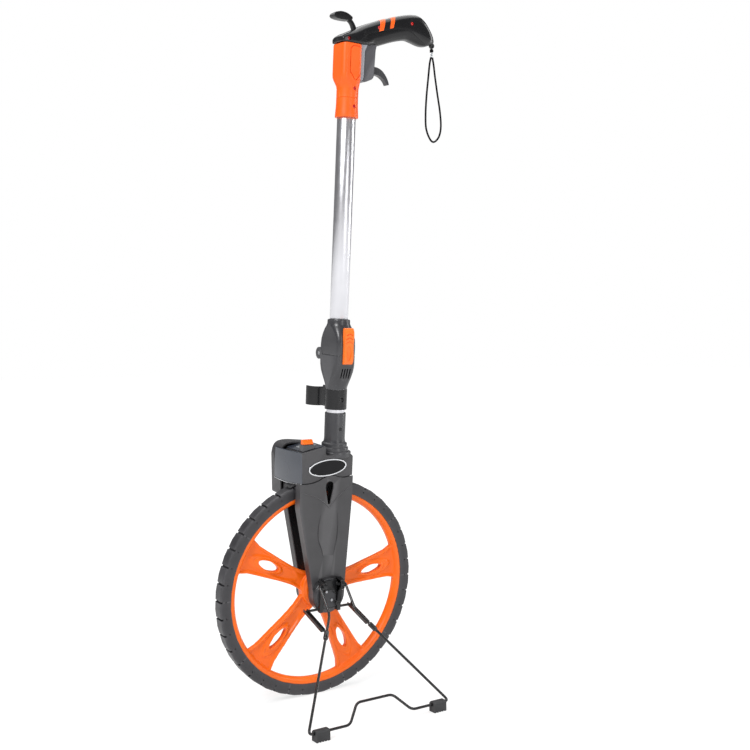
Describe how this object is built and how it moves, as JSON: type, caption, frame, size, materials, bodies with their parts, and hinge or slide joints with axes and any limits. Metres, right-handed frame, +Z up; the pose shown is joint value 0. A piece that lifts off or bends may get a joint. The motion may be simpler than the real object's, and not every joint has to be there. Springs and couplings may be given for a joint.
{
  "type": "measuring wheel",
  "caption": "Surveyor's measuring wheel: spoked wheel in a fork with a counter, folding pole, pistol grip with brake trigger, wire kickstand and wrist strap.",
  "frame": {"origin": "middle of the footprint box of the parked wheel, on the ground; the wrist strap is left out of that box", "axes": "+X to the rear, where the grip points; -Y to the kickstand; +Z up. The wheel leans 5.5 degrees towards -Y onto its kickstand"},
  "size_m": [0.4125, 0.2466, 1.202],
  "materials": {
    "orange_plastic": "satin moulded plastic, faint texture",
    "charcoal_plastic": "matt moulded plastic, fine texture",
    "nose_gloss": "glossy dark blue-grey",
    "black_plastic": "satin black",
    "badge_face": "gloss black with a silver rim, blank",
    "tyre_rubber": "matt rubber",
    "foot_rubber": "matt black rubber",
    "brake_rubber": "matt",
    "belt_rubber": "matt toothed belt",
    "tube_aluminium": "satin anodised",
    "black_steel": "semi-gloss black",
    "bright_steel": "zinc plated",
    "clear_plastic": "clear gloss",
    "drum_white": "satin white",
    "strap_cord": "braided black cord"
  },
  "bodies": {
    "fork": {"fork_frame": "charcoal_plastic", "near_leg_cover": "charcoal_plastic", "far_leg_cover": "charcoal_plastic", "axle": "bright_steel", "axle_nut_near": "bright_steel", "axle_nut_far": "bright_steel", "drive_belt": "belt_rubber", "counter_housing": "charcoal_plastic", "counter_cover": "charcoal_plastic", "nose_panel": "nose_gloss", "drive_cover": "charcoal_plastic", "counter_window": "clear_plastic", "badge": "badge_face", "reset_base": "charcoal_plastic", "brake_pin": "bright_steel", "stand_bracket": "black_plastic", "bracket_screw_1": "bright_steel", "bracket_screw_2": "bright_steel", "pole_socket": "charcoal_plastic", "socket_screw": "bright_steel", "lower_tube": "tube_aluminium", "storage_clip": "black_plastic", "joint_lower": "charcoal_plastic", "hinge_pin": "bright_steel"},
    "wheel": {"tyre": "tyre_rubber", "wheel_rim": "orange_plastic", "bearing_near": "bright_steel", "bearing_far": "bright_steel", "bearing_spacer": "bright_steel", "hub_pulley": "black_plastic"},
    "counter_drive": {"counter_shaft": "bright_steel", "counter_pulley": "black_plastic"},
    "drum_inches": {"digit_drum_1": "drum_white"},
    "drum_feet": {"digit_drum_2": "drum_white"},
    "drum_ten_feet": {"digit_drum_3": "drum_white"},
    "drum_hundred_feet": {"digit_drum_4": "drum_white"},
    "drum_thousand_feet": {"digit_drum_5": "drum_white"},
    "zero_button": {"reset_button": "orange_plastic"},
    "brake": {"brake_arm": "black_plastic", "brake_pad": "brake_rubber"},
    "upper_pole": {"joint_upper": "charcoal_plastic", "upper_tube": "tube_aluminium", "head_shell_near": "orange_plastic", "head_shell_far": "orange_plastic", "grip_shell_near": "charcoal_plastic", "grip_shell_far": "charcoal_plastic", "trigger_pin": "bright_steel", "lever_pin": "bright_steel", "strap_knot": "strap_cord", "strap_sleeve": "clear_plastic", "wrist_strap": "strap_cord"},
    "latch": {"fold_latch": "orange_plastic"},
    "trigger": {"brake_trigger": "charcoal_plastic"},
    "lever": {"reset_lever": "black_plastic"},
    "stand": {"stand_wire": "black_steel", "foot_left": "foot_rubber", "foot_right": "foot_rubber", "stand_collar_left": "black_steel", "stand_collar_right": "black_steel"},
    "brace": {"stand_brace": "black_steel"}
  },
  "joints": [
    {"name": "wheel_spin", "type": "hinge", "parent": "fork", "child": "wheel", "pos_m": [-0.0048, 0.07749, 0.19333], "axis": [0, 0.9954, 0.0958], "continuous": true},
    {"name": "counter_spin", "type": "hinge", "parent": "fork", "child": "counter_drive", "pos_m": [-0.0298, 0.05506, 0.42625], "axis": [0, 0.9954, 0.0958], "continuous": true},
    {"name": "drum_inches_turn", "type": "hinge", "parent": "fork", "child": "drum_inches", "pos_m": [-0.0298, 0.05506, 0.42625], "axis": [0, 0.9954, 0.0958], "continuous": true},
    {"name": "drum_feet_turn", "type": "hinge", "parent": "fork", "child": "drum_feet", "pos_m": [-0.0298, 0.05506, 0.42625], "axis": [0, 0.9954, 0.0958], "continuous": true},
    {"name": "drum_ten_feet_turn", "type": "hinge", "parent": "fork", "child": "drum_ten_feet", "pos_m": [-0.0298, 0.05506, 0.42625], "axis": [0, 0.9954, 0.0958], "continuous": true},
    {"name": "drum_hundred_feet_turn", "type": "hinge", "parent": "fork", "child": "drum_hundred_feet", "pos_m": [-0.0298, 0.05506, 0.42625], "axis": [0, 0.9954, 0.0958], "continuous": true},
    {"name": "drum_thousand_feet_turn", "type": "hinge", "parent": "fork", "child": "drum_thousand_feet", "pos_m": [-0.0298, 0.05506, 0.42625], "axis": [0, 0.9954, 0.0958], "continuous": true},
    {"name": "pole_fold", "type": "hinge", "parent": "fork", "child": "upper_pole", "pos_m": [0.0197, 0.07075, 0.60759], "axis": [-1, 0, 0], "range_deg": [0, 180]},
    {"name": "latch_slide", "type": "slide", "parent": "upper_pole", "child": "latch", "axis": [0, -0.0958, 0.9954], "range_m": [0, 0.008], "stiffness_N_per_m": 400, "springref_m": -0.01},
    {"name": "trigger_pull", "type": "hinge", "parent": "upper_pole", "child": "trigger", "pos_m": [0.0607, -0.00916, 1.09316], "axis": [0, -0.9954, -0.0958], "range_deg": [0, 20], "stiffness_Nm_per_rad": 0.3, "springref_deg": -17.19},
    {"name": "brake_swing", "type": "hinge", "parent": "fork", "child": "brake", "pos_m": [-0.0518, 0.05746, 0.40136], "axis": [0, -0.9954, -0.0958], "range_deg": [0, 4]},
    {"name": "lever_press", "type": "hinge", "parent": "upper_pole", "child": "lever", "pos_m": [0.0287, -0.01424, 1.14592], "axis": [0, -0.9954, -0.0958], "range_deg": [0, 12], "stiffness_Nm_per_rad": 0.5, "springref_deg": -17.19},
    {"name": "zero_press", "type": "slide", "parent": "fork", "child": "zero_button", "axis": [0, 0.0958, -0.9954], "range_m": [0, 0.0025], "stiffness_N_per_m": 600, "springref_m": -0.003},
    {"name": "stand_fold", "type": "hinge", "parent": "fork", "child": "stand", "pos_m": [-0.0008, 0.03135, 0.20295], "axis": [-1, 0, 0], "range_deg": [0, 136]},
    {"name": "brace_swing", "type": "hinge", "parent": "fork", "child": "brace", "pos_m": [-0.0008, 0.04652, 0.16021], "axis": [-1, 0, 0], "range_deg": [0, 99]}
  ],
  "couplings": [
    {"joint": "counter_spin", "follows": "wheel_spin", "ratio": 1},
    {"joint": "drum_inches_turn", "follows": "wheel_spin", "ratio": 4},
    {"joint": "drum_feet_turn", "follows": "wheel_spin", "ratio": 0.4},
    {"joint": "drum_ten_feet_turn", "follows": "wheel_spin", "ratio": 0.04},
    {"joint": "drum_hundred_feet_turn", "follows": "wheel_spin", "ratio": 0.004},
    {"joint": "drum_thousand_feet_turn", "follows": "wheel_spin", "ratio": 0.0004},
    {"joint": "brake_swing", "follows": "trigger_pull", "ratio": 0.2},
    {"joint": "brace_swing", "follows": "stand_fold", "ratio": 0.725}
  ]
}
